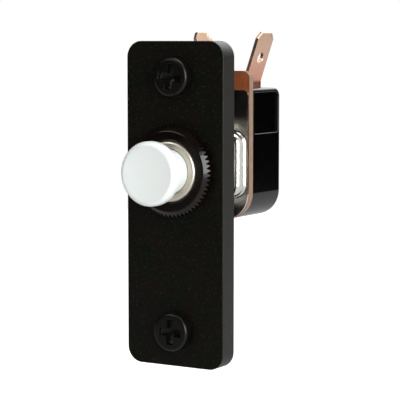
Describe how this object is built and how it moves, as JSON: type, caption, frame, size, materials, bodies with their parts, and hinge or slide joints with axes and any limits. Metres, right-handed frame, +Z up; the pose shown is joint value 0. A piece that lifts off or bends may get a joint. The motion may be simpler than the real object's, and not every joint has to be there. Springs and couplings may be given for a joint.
{
  "type": "pushbutton switch",
  "caption": "Panel pushbutton switch on a black screw-fixed plate: white mushroom button, knurled ring nut, threaded bushing, riveted switch body, leaning quick-connect tabs.",
  "frame": {"origin": "on the back face of the plate, midway between the two screw axes", "axes": "+Z up along the plate, +Y to the rear, away from the user and along the way the button is pressed, +X to the right as seen by the user"},
  "size_m": [0.022, 0.0393, 0.0658],
  "materials": {
    "plate_paint": "satin",
    "screw_black": "gloss",
    "ring_black": "gloss",
    "washer_steel": "satin",
    "nut_nickel": "polished",
    "bushing_nickel": "polished",
    "frame_nickel": "polished",
    "board_phenolic": "matt",
    "case_phenolic": "gloss",
    "rivet_steel": "satin",
    "terminal_copper": "satin",
    "contact_silver": "satin",
    "button_white": "gloss",
    "plunger_black": "matt",
    "bridge_copper": "satin",
    "spring_steel": "satin"
  },
  "bodies": {
    "body": {"mounting_plate": "plate_paint", "upper_screw": "screw_black", "lower_screw": "screw_black", "ring_nut": "ring_black", "lock_washer": "washer_steel", "back_nut": "nut_nickel", "threaded_bushing": "bushing_nickel", "metal_frame": "frame_nickel", "terminal_board": "board_phenolic", "switch_case": "case_phenolic", "upper_rivet": "rivet_steel", "lower_rivet": "rivet_steel", "right_terminal": "terminal_copper", "left_terminal": "terminal_copper", "right_fixed_contact": "contact_silver", "left_fixed_contact": "contact_silver", "return_spring": "spring_steel"},
    "button": {"push_button": "button_white", "plunger": "plunger_black", "contact_spring": "spring_steel", "contact_bridge": "bridge_copper", "right_moving_contact": "contact_silver", "left_moving_contact": "contact_silver", "bridge_clip": "spring_steel"}
  },
  "joints": [
    {"name": "button_press", "type": "slide", "parent": "body", "child": "button", "axis": [0, 1, 0], "range_m": [0, 0.0032], "stiffness_N_per_m": 600, "springref_m": -0.002, "deforming": ["return_spring"]}
  ]
}
